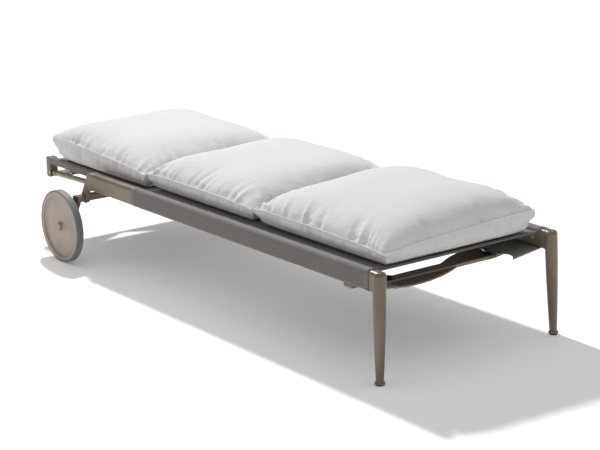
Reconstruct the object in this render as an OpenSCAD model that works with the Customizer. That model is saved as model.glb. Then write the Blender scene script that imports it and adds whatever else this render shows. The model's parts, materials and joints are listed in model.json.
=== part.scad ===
// Reclining sun lounger: cast legs, laced cloth seat, two wheels and a backrest on a stay.
// +X points to the foot end, +Z up. The origin is on the ground, midway along and across.

/* [Overall] */
// Length over the head castings and the foot glides
overall_length = 2120; // [1900:10:2300]
// Width over the cloth-covered side rails
frame_width = 740; // [640:5:840]
// Height of the side rails' top
frame_height = 347; // [320:1:400]

/* [Side rails] */
// Width of a side rail tube
rail_w = 34; // [28:1:40]
// Height of a side rail tube
rail_h = 61; // [50:1:66]
// Wall of the side rail tube
rail_wall = 2.5; // [2:0.5:4]
// Corner radius of the side rail tube
rail_r = 9; // [5:1:12]
// Length of the spigots inside the rail ends
spigot_l = 90; // [70:5:120]

/* [Cloth] */
// Thickness of the sling cloth
cloth = 1.6; // [1:0.1:2.4]
// Drop of the seat sling below the rail top
sling_drop = 11; // [8:1:16]
// Distance from the centre line to the seat flap's inner edge
flap_in = 225; // [180:5:260]
// Fall of the seat flap from rail to inner edge
flap_fall = 16; // [8:1:20]

/* [Legs] */
// Leg diameter at the rail
leg_top_d = 42; // [38:1:50]
// Leg diameter just above the foot
leg_foot_d = 24; // [18:1:30]
// Outward lean of the foot along X and along Y
leg_splay = 10; // [0:1:20]
// Diameter of the foot flange
foot_d = 33; // [28:1:44]
// Height of the foot flange
foot_h = 7; // [5:1:12]
// Height of the plastic glide
glide_h = 3; // [2:1:6]

/* [Wheels] */
// Wheel diameter
wheel_d = 272; // [220:2:300]
// Wheel width
wheel_w = 28; // [22:1:36]
// Thickness of the tyre band
tyre_t = 5; // [4:0.5:10]
// Distance from a side rail's cloth to the wheel's outer face
wheel_out = 72; // [60:1:100]
// Distance from the head end to the axle
axle_in = 327; // [290:1:360]
// Axle radius
axle_r = 6; // [5:0.5:8]
// Depth of the dish in the wheel's outer face
dish = 8; // [4:1:9]
// Width of the raised ring round the dish
rim_w = 14; // [10:1:20]

/* [Wheel beam] */
// Width of the beam along X
beam_w = 30; // [26:1:36]
// Height of the beam
beam_h = 23; // [20:1:28]
// Height of the beam's underside
beam_z = 235; // [225:1:240]
// Thickness of the bracket's arm between rail and beam
arm_y = 18; // [14:1:24]
// Distance from the head end to the beam's middle
beam_in = 392; // [380:1:402]

/* [Backrest] */
// Width over the cloth-covered backrest
back_width = 610; // [560:5:612]
// Side of the square backrest rail
back_rail = 24; // [20:1:26]
// Distance from the head end to the hinge
hinge_in = 725; // [715:1:735]
// Depth of the hinge axis below the side rails' top
hinge_drop = 33; // [29:1:37]
// Hinge pin radius
hinge_r = 6; // [5:0.5:8]
// Length of the head castings along X
cast_l = 30; // [26:1:36]
// Depth of the head castings' underside below the hinge axis
cast_drop = 66; // [62:1:72]
// Drop of the backrest sling below its rail top
back_drop = 6; // [4:1:8]

/* [Stay] */
// Length of the stay from pivot to foot rod
stay_l = 600; // [596:1:606]
// Stay tube diameter
stay_d = 20; // [16:1:21]
// Distance from the head end to the stay's pivot
pivot_in = 20; // [18:1:22]
// Depth of the stay's pivot below the hinge axis
pivot_drop = 50; // [48:1:51]
// Depth of the foot rod below the hinge axis with the backrest flat
stay_foot_drop = 28; // [27:1:29]
// Turn of the stay on the backrest for each degree of recline
stay_ratio = 0.24; // [0.22:0.01:0.26]
// Largest recline angle
recline_max = 50; // [40:1:50]
// Foot rod radius
foot_rod_r = 5; // [4:0.5:6]
// Radius of the rollers on the foot rod
roller_r = 7.5; // [6.5:0.5:8]
// Gap round the rollers in the guide slot
slot_gap = 0.7; // [0.5:0.1:1]

/* [Cushions] */
// Width of the cushions
cushion_w = 620; // [520:5:640]
// Thickness at the cushion's crown
cushion_t = 150; // [100:5:160]
// Height of the cushion's side band
band_h = 50; // [40:1:60]
// Gap between the cushions
cushion_gap = 6; // [3:1:12]

/* [Hidden] */
$fn = 64;
running = 0.05;
head_x = -overall_length / 2;
foot_x = overall_length / 2;
rail_y = frame_width / 2 - cloth - rail_w / 2;
rail_z = frame_height - cloth - rail_h / 2;
rail_in_y = rail_y - rail_w / 2;
rail_low_z = rail_z - rail_h / 2;
leg_x = foot_x - foot_d / 2 - leg_splay;
collar_l = 29;
rail_x1 = leg_x - collar_l;
rail_x0 = head_x + 740;
sling_x1 = rail_x1 - 8;
sling_z = frame_height - sling_drop;
lip_z = sling_z - 2 * cloth;
seam = 1;
hem = 10;
bracket_x0 = head_x + 427;
arm_wall = 4;
wheel_span = frame_width + 2 * wheel_out;
beam_x = head_x + beam_in;
beam_half = wheel_span / 2 - wheel_w - 14;
cap_t = 4;
axle_x = head_x + axle_in;
axle_z = wheel_d / 2;
wheel_y = wheel_span / 2 - wheel_w / 2;
wheel_in_y = wheel_y - wheel_w / 2;
bush_t = 4;
hub_side = 25;
hub_h = 12;
arm_t = 14;
hinge_x = head_x + hinge_in;
hinge_z = frame_height - hinge_drop;
pivot_z = hinge_z - pivot_drop;
stay_foot_z = hinge_z - stay_foot_drop;
cast_z = hinge_z - cast_drop;
hinge_bite = 16;
back_y = back_width / 2 - cloth - back_rail / 2;
back_in_y = back_y - back_rail / 2;
back_top = hinge_z + back_rail / 2 + cloth;
back_low = hinge_z - back_rail / 2;
back_sling_z = back_top - back_drop;
knuckle_r = 15;
back_x0 = head_x + cast_l;
back_x1 = hinge_x - knuckle_r - 1;
back_flap_in = 240;
pivot_x = head_x + pivot_in;
stay_y = back_width / 2 - 17;
eye_w = 14;
stay_tilt = -asin((stay_foot_z - pivot_z) / stay_l);
rack_t = 6;
rack_y = back_width / 2 + 10;
rack_x0 = hinge_x - 237;
rack_x1 = hinge_x - 65;
rack_z0 = stay_foot_z - 24;
rack_z1 = stay_foot_z + 40;
rack_screw_z = stay_foot_z + 27;
rack_screw_in = 11;
crossbar_x = foot_x - 165;
crossbar_w = 41;
crossbar_t = 13;
lobe_t = 8;
lobe_tilt = 15;
lobe_reach = 34;
rivet_x = [rail_x1 - 76, rail_x1 - 36];
rivet_r = 3;
cushion_step = floor((sling_x1 - hinge_x - 20) / 2);

// Position of the backrest pivot at a recline angle, as [x, z]
function turned(a) = [
    hinge_x + (pivot_x - hinge_x) * cos(a) + (pivot_z - hinge_z) * sin(a),
    hinge_z - (pivot_x - hinge_x) * sin(a) + (pivot_z - hinge_z) * cos(a)
];
// Position of the foot rod at a recline angle, as [x, z]
function rod_at(a) = [
    turned(a)[0] + stay_l * cos(stay_tilt + (1 + stay_ratio) * a),
    turned(a)[1] - stay_l * sin(stay_tilt + (1 + stay_ratio) * a)
];
// Unit normal of the foot rod's path at a recline angle
function path_dir(a) = let(d = rod_at(a + 0.5) - rod_at(a - 0.5)) d / norm(d);
function path_side(a, off) = rod_at(a) + off * [-path_dir(a)[1], path_dir(a)[0]];

// Mirrors to the right-hand side, which is -Y
module on_side(left) {
    if (left) children();
    else mirror([0, 1, 0]) children();
}
module both_sides() {
    children();
    mirror([0, 1, 0]) children();
}
// Extrudes a Y-Z outline along X
module along_x(x0, x1) {
    translate([x0, 0, 0]) rotate([90, 0, 90]) linear_extrude(x1 - x0) children();
}
// Extrudes an X-Z outline along Y
module along_y(y0, y1) {
    translate([0, y1, 0]) rotate([90, 0, 0]) linear_extrude(y1 - y0) children();
}
module rounded(w, h, r) {
    square([w - 2 * r, h], center = true);
    square([w, h - 2 * r], center = true);
    for (x = [-1, 1], y = [-1, 1]) translate([x * (w / 2 - r), y * (h / 2 - r)]) circle(r);
}
module rail_outline(grow) {
    translate([rail_y, rail_z]) rounded(rail_w + 2 * grow, rail_h + 2 * grow, rail_r + grow);
}
// A round bar from one point to another
module rod(a, b, r) {
    d = b - a;
    translate(a)
        rotate([0, acos(d[2] / norm(d)), atan2(d[1], d[0])])
            cylinder(h = norm(d), r = r);
}
// Holes for the rivets that hold a leg's spigot
module rivet_holes() {
    for (x = rivet_x)
        translate([x, rail_in_y - 1, rail_z]) rotate([-90, 0, 0])
            cylinder(h = rail_wall + 9, r = rivet_r);
}
module crossbar_hole() {
    translate([crossbar_x, rail_y, rail_low_z - 40]) cylinder(h = 50, r = 3);
}

module side_rail(left) {
    color("#8a7d6f") on_side(left) difference() {
        along_x(rail_x0, rail_x1) difference() {
            rail_outline(0);
            rail_outline(-rail_wall);
        }
        rivet_holes();
        crossbar_hole();
    }
}

function leg_r(t) = leg_foot_d / 2 + (leg_top_d - leg_foot_d) / 2 * (1 - pow(1 - t, 1.8));

module leg(left) {
    shaft_l = frame_height - glide_h - foot_h / 2;
    cap_r = 12;
    top_r = leg_top_d / 2;
    lean = atan(leg_splay / frame_height);
    steps = 8;
    color("#857868") on_side(left) difference() {
        union() {
            translate([leg_x, rail_y, frame_height]) rotate([lean, -lean, 0]) rotate_extrude()
                polygon(concat(
                    [[0, -shaft_l]],
                    [for (i = [0:steps]) [leg_r(i / steps), -shaft_l + i / steps * (shaft_l - cap_r)]],
                    [for (i = [1:5]) [top_r - cap_r + cap_r * cos(i * 18), -cap_r + cap_r * sin(i * 18)]],
                    [[0, 0]]
                ));
            translate([leg_x + leg_splay, rail_y + leg_splay, glide_h]) cylinder(h = foot_h, r = foot_d / 2);
            along_x(rail_x1, leg_x) rail_outline(cloth);
            along_x(rail_x1 - spigot_l, rail_x1 + 1) rail_outline(-rail_wall - 0.2);
        }
        rivet_holes();
    }
}

module foot_glides() {
    color("#202020") both_sides()
        translate([leg_x + leg_splay, rail_y + leg_splay, 0]) cylinder(h = glide_h, r = foot_d / 2 - 3);
}

// Cast bracket: carries on the side rail, then turns down as a thinner arm to the wheel beam
module head_bracket(left) {
    y0 = rail_in_y - cloth;
    y1 = frame_width / 2;
    top = frame_height;
    low = rail_low_z - cloth;
    arm_low = beam_z - arm_wall;
    arm_half = beam_w / 2 + arm_wall;
    r = 10;
    nose = [bracket_x0 + r, top - r];
    color("#857868") on_side(left) difference() {
        union() {
            along_x(bracket_x0 + 2 * r, rail_x0) rail_outline(cloth);
            along_y(y0, y1) {
                translate(nose) circle(r);
                polygon([
                    [nose[0], top], [nose[0] + 2 * r, top], [nose[0] + 2 * r, low],
                    [bracket_x0 - 12, low], [bracket_x0 + 1, nose[1] + 4]
                ]);
            }
            along_y(y1 - arm_y, y1) polygon([
                [bracket_x0 + 1, nose[1] + 4], [bracket_x0 + 2 * r, low], [bracket_x0 - 4, low],
                [beam_x + arm_half, arm_low], [beam_x - arm_half, arm_low],
                [beam_x - arm_half, beam_z + beam_h / 2]
            ]);
            along_x(rail_x0 - 1, rail_x0 + spigot_l) rail_outline(-rail_wall - 0.2);
            translate([hinge_x, back_width / 2 + 1, hinge_z]) rotate([-90, 0, 0])
                cylinder(h = y0 - back_width / 2 + 1, r = 14);
        }
        along_y(y0 - 1, y1 + 1) translate([beam_x, beam_z + beam_h / 2]) square([beam_w, beam_h], center = true);
        translate([hinge_x, back_width / 2, hinge_z]) rotate([-90, 0, 0])
            cylinder(h = y0 + hinge_bite - back_width / 2, r = hinge_r);
        for (x = [rack_x0 + rack_screw_in, rack_x1 - rack_screw_in])
            translate([x, y0 - 1, rack_screw_z]) rotate([-90, 0, 0]) cylinder(h = 13, r = 2.5);
        translate([beam_x + 4, y1 - arm_y / 2, arm_low - 1]) cylinder(h = 6, r = 3);
    }
}

module wheel_beam() {
    color("#857868") along_y(-beam_half, beam_half) translate([beam_x, beam_z + beam_h / 2]) difference() {
        rounded(beam_w, beam_h, 2);
        rounded(beam_w - 5, beam_h - 5, 1);
    }
}
module beam_caps() {
    color("#202020") both_sides() {
        along_y(beam_half, beam_half + cap_t) translate([beam_x, beam_z + beam_h / 2]) rounded(beam_w, beam_h, 3);
        along_y(beam_half - 12, beam_half) translate([beam_x, beam_z + beam_h / 2]) rounded(beam_w - 5, beam_h - 5, 1);
    }
}
module set_screws() {
    arm_low = beam_z - arm_wall;
    color("#202020") both_sides() translate([beam_x + 4, (frame_width - arm_y) / 2, arm_low]) {
        cylinder(h = arm_wall, r = 3);
        translate([0, 0, -5]) cylinder(h = 5, r = 4);
    }
}

// Drop arm from the beam's underside to the axle
module wheel_arm(left) {
    boss = 16;
    y1 = beam_half - 2;
    color("#857868") on_side(left) difference() {
        along_y(y1 - arm_t, y1) difference() {
            union() {
                polygon([
                    [beam_x + beam_w / 2 - 2, beam_z], [beam_x - beam_w / 2 + 2, beam_z],
                    [axle_x - boss * cos(20), axle_z + boss * sin(20)],
                    [axle_x + boss * cos(50), axle_z - boss * sin(50)]
                ]);
                translate([axle_x, axle_z]) circle(boss);
            }
            translate([axle_x, axle_z]) circle(axle_r);
        }
    }
}
module axle(left) {
    y0 = beam_half - 2 - arm_t - 4;
    color("#b5b5b5") on_side(left) translate([axle_x, 0, axle_z]) rotate([-90, 0, 0]) {
        translate([0, 0, y0]) cylinder(h = wheel_span / 2 - dish - 3 - y0, r = axle_r);
        translate([0, 0, y0]) cylinder(h = 4, r = axle_r + 4);
    }
}
module axle_spacers() {
    y0 = beam_half - 2;
    color("#202020") both_sides() translate([axle_x, 0, axle_z]) rotate([-90, 0, 0]) difference() {
        translate([0, 0, y0]) cylinder(h = wheel_in_y - 0.5 - y0, r = axle_r + bush_t);
        translate([0, 0, y0 - 1]) cylinder(h = wheel_w, r = axle_r);
    }
}

// Circle segment that swells from a spar's edge
module lobe(reach, half, y0, y1) {
    r = (half * half + reach * reach) / (2 * reach);
    intersection() {
        translate([reach - r, 0]) circle(r, $fn = 180);
        translate([-20, y0]) square([reach + 21, y1 - y0]);
    }
}
// Cast cross piece between the rails' foot ends, with two opposite lobes
module foot_crossbar() {
    top = rail_low_z - 2 * cloth - 0.2;
    mid = top - flap_fall;
    low = top - crossbar_t;
    land = rail_y - 8;
    color("#857868") difference() {
        union() {
            along_x(crossbar_x - crossbar_w / 2, crossbar_x + crossbar_w / 2) polygon([
                [-rail_y - hem, top], [-rail_y, top], [-flap_in, mid], [flap_in, mid], [rail_y, top],
                [rail_y + hem, top], [rail_y + hem, low], [land, low],
                [flap_in, mid - crossbar_t], [-flap_in, mid - crossbar_t], [-land, low],
                [-rail_y - hem, low]
            ]);
            translate([crossbar_x, 0, mid - lobe_t / 2 - 2]) rotate([0, lobe_tilt, 0])
                translate([0, 0, -lobe_t / 2]) linear_extrude(lobe_t) {
                    translate([crossbar_w / 2, -125]) lobe(lobe_reach, 185, -90, 185);
                    translate([-crossbar_w / 2, 215]) rotate(180) lobe(lobe_reach + 6, 185, 0, 185);
                }
        }
        both_sides() crossbar_hole();
    }
}
module crossbar_bolts() {
    low = rail_low_z - 2 * cloth - 0.2 - crossbar_t;
    color("#9a9a9a") both_sides() {
        translate([crossbar_x, rail_y, low]) cylinder(h = rail_low_z + rail_wall - low, r = 3);
        translate([crossbar_x, rail_y, low - 3]) cylinder(h = 3, r = 5.5);
    }
}
module seat_crossbar() {
    color("#857868") along_y(-rail_in_y, rail_in_y) translate([hinge_x + 50, rail_z - 12]) difference() {
        circle(12);
        circle(9.5);
    }
}

module seat_sling() {
    half = rail_in_y - cloth;
    color("#6f6a66") translate([rail_x0 + seam, -half, sling_z - cloth])
        cube([sling_x1 - rail_x0 - seam, 2 * half, cloth]);
}
// Cloth round the rail: over the top, down the outer face and under
module seat_band(left) {
    color("#736c67") on_side(left) difference() {
        along_x(rail_x0 + seam, rail_x1 - seam) difference() {
            rail_outline(cloth);
            rail_outline(0);
            translate([rail_in_y - 9, rail_low_z - 9]) square([9, lip_z - rail_low_z + 9]);
        }
        crossbar_hole();
    }
}
module seat_flap(left) {
    z1 = rail_low_z - cloth;
    color("#56524f") on_side(left) difference() {
        along_x(rail_x0 + seam, sling_x1) polygon([
            [rail_y + hem, z1], [rail_y, z1], [flap_in, z1 - flap_fall],
            [flap_in, z1 - flap_fall - cloth], [rail_y, z1 - cloth], [rail_y + hem, z1 - cloth]
        ]);
        crossbar_hole();
    }
}
// Cord ties from the flaps' inner corners round the foot crossbar
module foot_laces() {
    r = 1.5;
    z = rail_low_z - 2 * cloth - flap_fall + r + 0.4;
    color("#1c1c1c") both_sides() for (i = [0:3]) {
        x = crossbar_x - 6 + i * 8;
        rod([x, flap_in - r, z], [x + 9, flap_in - 34, z], r);
    }
}
module rail_rivets() {
    color("#a89c8c") both_sides() for (x = rivet_x)
        translate([x, rail_in_y, rail_z]) rotate([90, 0, 0]) {
            cylinder(h = 2, r1 = rivet_r + 2, r2 = rivet_r + 0.5);
            translate([0, 0, -rail_wall - 7]) cylinder(h = rail_wall + 7, r = rivet_r);
        }
}

// Slot that the foot rod follows, with a rest at each tenth of the travel it stops at
module guide_slot() {
    half = roller_r + slot_gap;
    steps = 16;
    a = [for (i = [0:steps]) recline_max * i / steps];
    polygon(concat(
        [for (v = a) path_side(v, half)],
        [for (i = [0:steps]) path_side(a[steps - i], -half)]
    ));
    for (v = [0, recline_max]) translate(rod_at(v)) circle(half);
    for (i = [1:4]) translate(path_side(recline_max * i / 5, 3)) circle(half);
}
module guide_plate(left) {
    w = rack_x1 - rack_x0;
    h = rack_z1 - rack_z0;
    y0 = rack_y;
    bracket_y = rail_in_y - cloth;
    color("#8f8273") on_side(left) difference() {
        union() {
            along_y(y0, y0 + rack_t) difference() {
                translate([rack_x0 + w / 2, rack_z0 + h / 2]) rounded(w, h, 10);
                guide_slot();
            }
            for (x = [rack_x0 + rack_screw_in, rack_x1 - rack_screw_in])
                translate([x, y0 + rack_t, rack_screw_z]) rotate([-90, 0, 0])
                    cylinder(h = bracket_y - y0 - rack_t, r = 7);
        }
        for (x = [rack_x0 + rack_screw_in, rack_x1 - rack_screw_in])
            translate([x, y0 - 1, rack_screw_z]) rotate([-90, 0, 0])
                cylinder(h = bracket_y - y0 + 2, r = 2.5);
    }
}
module guide_screws() {
    color("#9a9a9a") both_sides() for (x = [rack_x0 + rack_screw_in, rack_x1 - rack_screw_in])
        translate([x, rack_y, rack_screw_z]) rotate([-90, 0, 0]) {
            cylinder(h = rail_in_y - cloth + 10 - rack_y, r = 2.5);
            translate([0, 0, -2.5]) cylinder(h = 2.5, r = 5);
        }
}
module hinge_pin(left) {
    y1 = rail_in_y - cloth + 14;
    color("#b5b5b5") on_side(left) translate([hinge_x, back_in_y - 5, hinge_z]) rotate([-90, 0, 0]) {
        cylinder(h = 4, r = hinge_r + 4);
        cylinder(h = y1 - back_in_y + 5, r = hinge_r);
    }
}

// Crowned cushion: levels of a plain solid, the x1 end leaning back by lean
module cushion(x0, x1, z0, lean) {
    level_z = [0, band_h, cushion_t * 0.7, cushion_t - 2];
    inset = [0, 0, 70, 165];
    hull() for (i = [0:3]) {
        cut = max(inset[i], level_z[i] * tan(lean));
        w = x1 - cut - x0 - inset[i];
        translate([x0 + inset[i] + w / 2, 0, z0 + level_z[i]])
            linear_extrude(2) rounded(w, cushion_w - 2 * inset[i], 25, $fn = 32);
    }
}
module middle_cushion() {
    x0 = hinge_x + 18;
    color("#dedad8") cushion(x0, x0 + cushion_step - cushion_gap, sling_z + 2, 0);
}
module foot_cushion() {
    x0 = hinge_x + 18 + cushion_step;
    color("#dedad8") cushion(x0, x0 + cushion_step, sling_z + 2, 0);
}
module head_cushion() {
    color("#dedad8") cushion(head_x + 62, hinge_x - 10, back_top + 0.5, recline_max + 1);
}

module back_outline(grow) {
    translate([back_y, hinge_z]) rounded(back_rail + 2 * grow, back_rail + 2 * grow, 6 + grow);
}
module back_rail(left) {
    color("#8a7d6f") on_side(left) along_x(back_x0, back_x1) difference() {
        back_outline(0);
        back_outline(-2);
    }
}
// Casting at the head end: rail above, stay pivot and cross blade below
module head_casting(left) {
    y0 = back_width / 2 - 35;
    y1 = back_width / 2;
    h = back_top - cast_z;
    slot_half = 10.5;
    color("#857868") on_side(left) difference() {
        union() {
            along_y(y0, y1) translate([head_x + cast_l / 2, cast_z + h / 2]) rounded(cast_l, h, 8);
            along_x(back_x0 - 1, back_x0 + 45) back_outline(-2.2);
        }
        along_y(stay_y - eye_w / 2 - 0.4, stay_y + eye_w / 2 + 0.4) {
            translate([pivot_x, pivot_z]) circle(slot_half);
            translate([pivot_x, pivot_z - slot_half]) square([40, 2 * slot_half]);
        }
        along_y(y0 - 1, y1 + 1) translate([pivot_x, pivot_z]) circle(4);
    }
}
module stay_pins() {
    color("#b5b5b5") both_sides() along_y(back_width / 2 - 34, back_width / 2 - 1)
        translate([pivot_x, pivot_z]) circle(4);
}
// Cross blade between the head castings
module head_blade() {
    half = back_width / 2 - 35;
    color("#857868") translate([head_x + cast_l / 2 + 4, 0, cast_z + 3]) {
        translate([-11, -half, 0]) cube([22, 2 * half, 13]);
        both_sides() translate([11, half - 105, 2]) linear_extrude(lobe_t) lobe(50, 150, -150, 103);
    }
}
module back_crossbar() {
    color("#857868") along_y(-back_in_y, back_in_y) translate([hinge_x - 42, hinge_z - 4]) difference() {
        circle(8);
        circle(6);
    }
}
module hinge_knuckle(left) {
    color("#857868") on_side(left) difference() {
        union() {
            along_y(back_in_y, back_in_y + back_rail) translate([hinge_x, hinge_z]) circle(knuckle_r);
            along_x(back_x1 - 40, hinge_x - hinge_r - 6) back_outline(-2.2);
        }
        along_y(back_in_y - 1, back_in_y + back_rail + 1) translate([hinge_x, hinge_z]) circle(hinge_r + 3);
    }
}
module hinge_bushes() {
    color("#202020") both_sides() along_y(back_in_y, back_in_y + back_rail)
        translate([hinge_x, hinge_z]) difference() {
            circle(hinge_r + 3);
            circle(hinge_r + running);
        }
}
module back_sling() {
    half = back_in_y - cloth;
    color("#6f6a66") translate([back_x0 + 20, -half, back_sling_z - cloth])
        cube([back_x1 - back_x0 - 20 - seam, 2 * half, cloth]);
}
module back_band(left) {
    lip = back_sling_z - 2 * cloth;
    color("#736c67") on_side(left) {
        along_x(back_x0 + seam, back_x1 - seam) difference() {
            back_outline(cloth);
            back_outline(0);
            translate([back_in_y - 9, back_low - 9]) square([9, lip - back_low + 9]);
        }
        along_x(back_x0 + 20, back_x1 - 20) polygon([
            [back_y, back_low - cloth], [back_flap_in, back_low - cloth],
            [back_flap_in, back_low - 2 * cloth], [back_y, back_low - 2 * cloth]
        ]);
    }
}
// Cord ties from the backrest flaps down to the head blade
module back_laces() {
    r = 1.8;
    z1 = back_low - 2 * cloth - r;
    z0 = cast_z + 3 + 2 + lobe_t + r;
    color("#1c1c1c") both_sides() for (x = [head_x + 52, head_x + 68])
        rod([x, back_flap_in + 4, z1], [x + 2, back_flap_in - 12, z0], r);
}

// Stay along +X from its pivot, before it is tilted into place
module in_stay() {
    translate([pivot_x, 0, pivot_z]) rotate([0, stay_tilt, 0]) children();
}
module stay(left) {
    r = stay_d / 2;
    color("#c9bcae") on_side(left) in_stay() difference() {
        union() {
            translate([0, stay_y - eye_w / 2, 0]) rotate([-90, 0, 0]) cylinder(h = eye_w, r = 9);
            translate([0, stay_y - eye_w / 2, -eye_w / 2]) cube([20, eye_w, eye_w]);
            translate([18, stay_y, 0]) rotate([0, 90, 0]) cylinder(h = 12, r = r + 2);
            translate([30, stay_y, 0]) rotate([0, 90, 0]) cylinder(h = 3, r = r - 1);
            translate([33, stay_y, 0]) rotate([0, 90, 0]) cylinder(h = 4, r = r + 1);
            translate([36, stay_y, 0]) rotate([0, 90, 0]) cylinder(h = stay_l - 36 + 12, r = r);
        }
        translate([0, stay_y - eye_w, 0]) rotate([-90, 0, 0]) cylinder(h = 2 * eye_w, r = 4 + running);
        translate([40, stay_y, 0]) rotate([0, 90, 0]) cylinder(h = stay_l - 60, r = r - 2);
        translate([stay_l, stay_y - 20, 0]) rotate([-90, 0, 0]) cylinder(h = 40, r = foot_rod_r);
    }
}
module stay_rod() {
    color("#b5b5b5") in_stay() translate([stay_l, 0, 0]) rotate([90, 0, 0])
        cylinder(h = 2 * (rack_y + rack_t), r = foot_rod_r, center = true);
}
module stay_rollers() {
    color("#202020") both_sides() in_stay() translate([stay_l, rack_y - 2, 0]) rotate([-90, 0, 0]) difference() {
        cylinder(h = rack_t + 2, r = roller_r);
        translate([0, 0, -1]) cylinder(h = rack_t + 4, r = foot_rod_r);
    }
}

module wheel_side(left) {
    on_side(left) translate([axle_x, wheel_in_y, axle_z]) rotate([-90, 0, 0]) children();
}
module tyre(left) {
    r = wheel_d / 2;
    b = 2;
    color("#74787a") wheel_side(left) rotate_extrude($fn = 180) polygon([
        [r - tyre_t, 0], [r - b, 0], [r, b], [r, wheel_w - b], [r - b, wheel_w], [r - tyre_t, wheel_w]
    ]);
}
// Dished disc: a raised ring outside, a plain shallow dish inside
module wheel_disc(left) {
    r = wheel_d / 2 - tyre_t;
    face = wheel_w - dish;
    bore = axle_r + bush_t;
    f = 4;
    color("#a3968a") wheel_side(left) rotate_extrude($fn = 180) polygon(concat(
        [[bore, 0], [bore + 8, 0], [bore + 14, dish], [r - rim_w - 6, dish], [r - rim_w, 0.5], [r, 0.5]],
        [[r, wheel_w - 1.5], [r - 1.5, wheel_w], [r - rim_w + f, wheel_w]],
        [for (i = [1:4]) [r - rim_w + f - f * sin(i * 22.5), wheel_w - f + f * cos(i * 22.5)]],
        [for (i = [1:4]) [r - rim_w - f + f * cos(i * 22.5), face + f - f * sin(i * 22.5)]],
        [[bore, face]]
    ));
}
module hub_cap(left) {
    color("#a3968a") wheel_side(left) translate([0, 0, wheel_w - dish]) rotate(20) {
        linear_extrude(hub_h - 1.5) rounded(hub_side, hub_side, 4);
        translate([0, 0, hub_h - 1.5]) linear_extrude(1.5) rounded(hub_side - 3, hub_side - 3, 3);
    }
}
module wheel_bush(left) {
    color("#202020") wheel_side(left) difference() {
        cylinder(h = wheel_w - dish, r = axle_r + bush_t);
        translate([0, 0, -1]) cylinder(h = wheel_w - dish - 1, r = axle_r + running);
    }
}

side_rail(true);  // side_rail_left
side_rail(false);  // side_rail_right
leg(true);  // leg_left
leg(false);  // leg_right
foot_glides();
head_bracket(true);  // head_bracket_left
head_bracket(false);  // head_bracket_right
wheel_beam();
beam_caps();
set_screws();
wheel_arm(true);  // wheel_arm_left
wheel_arm(false);  // wheel_arm_right
axle(true);  // axle_left
axle(false);  // axle_right
axle_spacers();
foot_crossbar();
crossbar_bolts();
seat_crossbar();
seat_sling();
seat_band(true);  // seat_band_left
seat_band(false);  // seat_band_right
seat_flap(true);  // seat_flap_left
seat_flap(false);  // seat_flap_right
foot_laces();
rail_rivets();
guide_plate(true);  // guide_plate_left
guide_plate(false);  // guide_plate_right
guide_screws();
hinge_pin(true);  // hinge_pin_left
hinge_pin(false);  // hinge_pin_right
middle_cushion();
foot_cushion();
back_rail(true);  // back_rail_left
back_rail(false);  // back_rail_right
head_casting(true);  // head_casting_left
head_casting(false);  // head_casting_right
head_blade();
back_crossbar();
hinge_knuckle(true);  // hinge_knuckle_left
hinge_knuckle(false);  // hinge_knuckle_right
hinge_bushes();
back_sling();
back_band(true);  // back_band_left
back_band(false);  // back_band_right
back_laces();
stay_pins();
head_cushion();
stay(true);  // stay_left
stay(false);  // stay_right
stay_rod();
stay_rollers();
tyre(true);  // tyre_left
tyre(false);  // tyre_right
wheel_disc(true);  // wheel_disc_left
wheel_disc(false);  // wheel_disc_right
hub_cap(true);  // hub_cap_left
hub_cap(false);  // hub_cap_right
wheel_bush(true);  // wheel_bush_left
wheel_bush(false);  // wheel_bush_right
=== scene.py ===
import json
import math

import bpy
import numpy as np
from mathutils import Matrix, Vector
from mathutils.bvhtree import BVHTree


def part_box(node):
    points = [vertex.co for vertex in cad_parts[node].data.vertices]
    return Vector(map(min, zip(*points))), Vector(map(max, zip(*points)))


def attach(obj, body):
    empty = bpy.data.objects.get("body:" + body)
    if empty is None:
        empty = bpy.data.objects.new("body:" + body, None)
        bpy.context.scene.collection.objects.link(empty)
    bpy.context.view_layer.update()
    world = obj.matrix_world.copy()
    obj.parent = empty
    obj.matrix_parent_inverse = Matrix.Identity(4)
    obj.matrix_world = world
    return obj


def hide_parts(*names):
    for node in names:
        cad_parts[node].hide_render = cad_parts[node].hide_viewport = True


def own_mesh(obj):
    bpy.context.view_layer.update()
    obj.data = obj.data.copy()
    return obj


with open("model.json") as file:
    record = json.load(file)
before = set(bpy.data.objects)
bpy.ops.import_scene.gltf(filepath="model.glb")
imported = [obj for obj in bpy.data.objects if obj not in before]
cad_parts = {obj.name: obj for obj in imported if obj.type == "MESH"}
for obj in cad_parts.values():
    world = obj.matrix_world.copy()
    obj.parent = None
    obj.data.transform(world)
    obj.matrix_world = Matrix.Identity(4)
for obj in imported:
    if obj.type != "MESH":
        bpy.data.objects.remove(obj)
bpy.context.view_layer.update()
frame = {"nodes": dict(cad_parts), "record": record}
SCENE = bpy.context.scene
SIDES = {"left": 1, "right": -1}
# Thickness of one layer of cloth, in metres
CLOTH = 0.0016
NODE_SLOT = {part["node"]: part["material_slot"] for part in frame["record"]["subparts"]}


# ---------------------------------------------------------------- camera, light and floor
def add_camera():
    """The camera stands low, off the foot end's right-hand corner."""
    azimuth, elevation, roll = (math.radians(turn) for turn in (53.3, 15.249, -1.150))
    level = math.cos(elevation)
    back = Vector((math.sin(azimuth) * level, -math.cos(azimuth) * level, math.sin(elevation)))
    right = Vector((math.cos(azimuth), math.sin(azimuth), 0))
    up = back.cross(right)
    tilted_right = right * math.cos(roll) + up * math.sin(roll)
    tilted_up = -right * math.sin(roll) + up * math.cos(roll)
    data = bpy.data.cameras.new("camera")
    data.lens = 102.98
    data.sensor_width = 36
    data.clip_end = 60
    camera = bpy.data.objects.new("camera", data)
    camera.matrix_world = Matrix((tilted_right, tilted_up, back)).transposed().to_4x4()
    camera.location = (4.7541, -3.4115, 1.8059)
    SCENE.collection.objects.link(camera)
    SCENE.camera = camera


add_camera()

KEY_POWER = 104
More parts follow.
